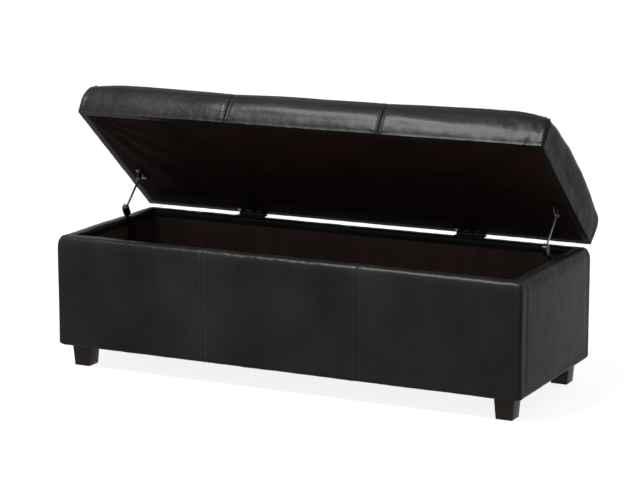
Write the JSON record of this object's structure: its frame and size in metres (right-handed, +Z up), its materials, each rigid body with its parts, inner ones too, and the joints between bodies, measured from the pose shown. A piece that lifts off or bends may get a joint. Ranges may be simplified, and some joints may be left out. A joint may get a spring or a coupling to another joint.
{
  "type": "storage bench",
  "caption": "Long upholstered storage bench, a padded box on tapered feet with a padded seat lid that swings up on back hinges and is held open by a link stay at each end.",
  "frame": {"origin": "on the floor, below the middle of the whole bench with its lid open as stored", "axes": "+X along the bench to the right seen from the front, +Y to the back, where the lid is hinged, +Z up"},
  "size_m": [1.222, 0.5016, 0.6829],
  "materials": {
    "leather": "soft-gloss bonded leather with fine grain",
    "lining_cloth": "matt non-woven cloth",
    "foam": "open-cell upholstery foam",
    "timber": "rough sawn softwood",
    "plywood": "sanded plywood",
    "dark_wood": "espresso lacquer, satin",
    "bronzed_steel": "oil-rubbed bronze plating, semi-gloss",
    "stay_steel": "dark plated steel",
    "zinc_steel": "zinc plated"
  },
  "bodies": {
    "cabinet": {"front_wall_foam": "foam", "right_wall_foam": "foam", "back_wall_foam": "foam", "left_wall_foam": "foam", "front_cover_left_panel": "leather", "front_cover_middle_panel": "leather", "front_cover_right_panel": "leather", "right_cover": "leather", "back_cover": "leather", "left_cover": "leather", "front_board": "timber", "back_board": "timber", "left_board": "timber", "right_board": "timber", "floor_board": "plywood", "front_base_rail": "timber", "back_base_rail": "timber", "left_base_rail": "timber", "right_base_rail": "timber", "front_left_corner_block": "timber", "front_left_leg": "dark_wood", "front_left_leg_bolt": "zinc_steel", "front_right_corner_block": "timber", "front_right_leg": "dark_wood", "front_right_leg_bolt": "zinc_steel", "back_left_corner_block": "timber", "back_left_leg": "dark_wood", "back_left_leg_bolt": "zinc_steel", "back_right_corner_block": "timber", "back_right_leg": "dark_wood", "back_right_leg_bolt": "zinc_steel", "dust_cover": "lining_cloth", "well_lining": "lining_cloth", "left_hinge_box_leaf": "bronzed_steel", "left_hinge_pin": "bronzed_steel", "left_stay_base_plate": "bronzed_steel", "right_hinge_box_leaf": "bronzed_steel", "right_hinge_pin": "bronzed_steel", "right_stay_base_plate": "bronzed_steel"},
    "lid": {"lid_cover_left_panel": "leather", "lid_cover_middle_panel": "leather", "lid_cover_right_panel": "leather", "lid_foam": "foam", "lid_deck": "plywood", "lid_front_rail": "timber", "lid_back_rail": "timber", "lid_left_rail": "timber", "lid_right_rail": "timber", "lid_left_cross_rail": "timber", "lid_right_cross_rail": "timber", "lid_lining": "lining_cloth", "left_hinge_lid_leaf": "bronzed_steel", "left_stay_lid_bracket": "bronzed_steel", "right_hinge_lid_leaf": "bronzed_steel", "right_stay_lid_bracket": "bronzed_steel"},
    "left_link": {"left_stay_link": "bronzed_steel"},
    "left_arm": {"left_stay_arm": "stay_steel"},
    "right_link": {"right_stay_link": "bronzed_steel"},
    "right_arm": {"right_stay_arm": "stay_steel"}
  },
  "joints": [
    {"name": "lid_hinge", "type": "hinge", "parent": "cabinet", "child": "lid", "pos_m": [0, 0.19781, 0.3324], "axis": [1, 0, 0], "range_deg": [0, 40]},
    {"name": "left_link_pivot", "type": "hinge", "parent": "cabinet", "child": "left_link", "pos_m": [-0.572, 0.04581, 0.2844], "axis": [1, 0, 0], "range_deg": [0, 66]},
    {"name": "left_arm_pivot", "type": "hinge", "parent": "lid", "child": "left_arm", "pos_m": [-0.5675, 0.07635, 0.42257], "axis": [1, 0, 0], "range_deg": [-57.4, 0]},
    {"name": "right_link_pivot", "type": "hinge", "parent": "cabinet", "child": "right_link", "pos_m": [0.572, 0.04581, 0.2844], "axis": [1, 0, 0], "range_deg": [0, 66]},
    {"name": "right_arm_pivot", "type": "hinge", "parent": "lid", "child": "right_arm", "pos_m": [0.5675, 0.07635, 0.42257], "axis": [1, 0, 0], "range_deg": [-57.4, 0]}
  ],
  "couplings": [
    {"joint": "left_link_pivot", "follows": "lid_hinge", "ratio": 1.6483},
    {"joint": "left_arm_pivot", "follows": "lid_hinge", "ratio": -1.4334},
    {"joint": "right_link_pivot", "follows": "lid_hinge", "ratio": 1.6483},
    {"joint": "right_arm_pivot", "follows": "lid_hinge", "ratio": -1.4334}
  ]
}
